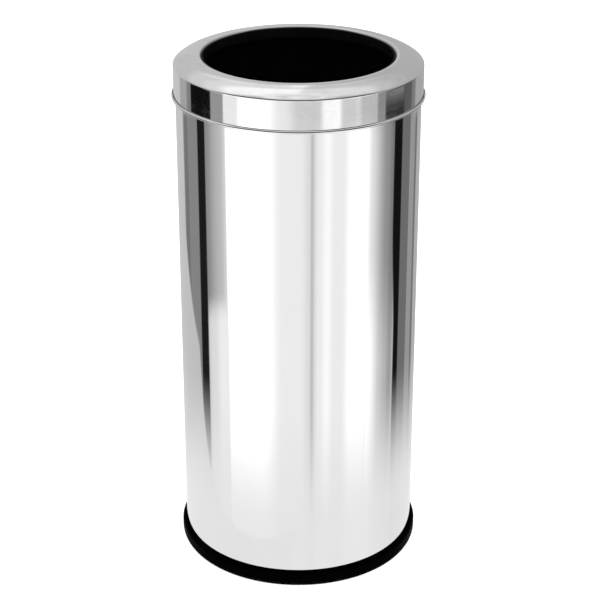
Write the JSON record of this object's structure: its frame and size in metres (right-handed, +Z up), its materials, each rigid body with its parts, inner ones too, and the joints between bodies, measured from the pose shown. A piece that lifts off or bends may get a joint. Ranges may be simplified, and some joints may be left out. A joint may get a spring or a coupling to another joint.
{
  "type": "litter bin",
  "caption": "Round open-top litter bin: polished steel tube on a black base ring, loose ring lid, and a lift-out inner bucket with a bail.",
  "frame": {"origin": "centre of the base ring's foot, on the floor", "axes": "+Z up along the bin's round axis; -Y is the side that the stored bail lies on; the bail's pivot is along X"},
  "size_m": [0.3106, 0.3106, 0.6586],
  "materials": {
    "polished_steel": "mirror polished stainless",
    "galvanised_sheet": "galvanised, spangled",
    "gloss_black_moulding": "glossy moulded",
    "satin_black_moulding": "satin moulded",
    "black_paint": "satin black paint",
    "steel_wire": "zinc plated wire",
    "rivet_steel": "plain steel",
    "zinc_screws": "zinc plated",
    "buffer_rubber": "matt rubber"
  },
  "bodies": {
    "bin_body": {"body_shell": "polished_steel", "bottom_pan": "galvanised_sheet", "base_ring": "gloss_black_moulding", "base_ring_screws": "zinc_screws"},
    "bucket": {"bucket_wall": "black_paint", "bucket_bottom": "black_paint", "bucket_rim_wire": "steel_wire", "bucket_ear_left": "black_paint", "bucket_ear_right": "black_paint", "ear_rivets": "rivet_steel"},
    "bail": {"bail_wire": "steel_wire", "bail_grip": "satin_black_moulding"},
    "lid": {"lid_ring": "polished_steel", "lid_collar": "satin_black_moulding", "lid_buffers": "buffer_rubber"}
  },
  "joints": [
    {"name": "bucket_lift", "type": "slide", "parent": "bin_body", "child": "bucket", "axis": [0, 0, 1], "range_m": [0, 0.64]},
    {"name": "lid_lift", "type": "slide", "parent": "bucket", "child": "lid", "axis": [0, 0, 1], "range_m": [0, 0.25]},
    {"name": "bail_swing", "type": "hinge", "parent": "bucket", "child": "bail", "pos_m": [0, 0, 0.623], "axis": [-1, 0, 0], "range_deg": [0, 90]}
  ],
  "couplings": [
    {"joint": "bail_swing", "follows": "lid_lift", "rad_per_m": 6.28}
  ]
}
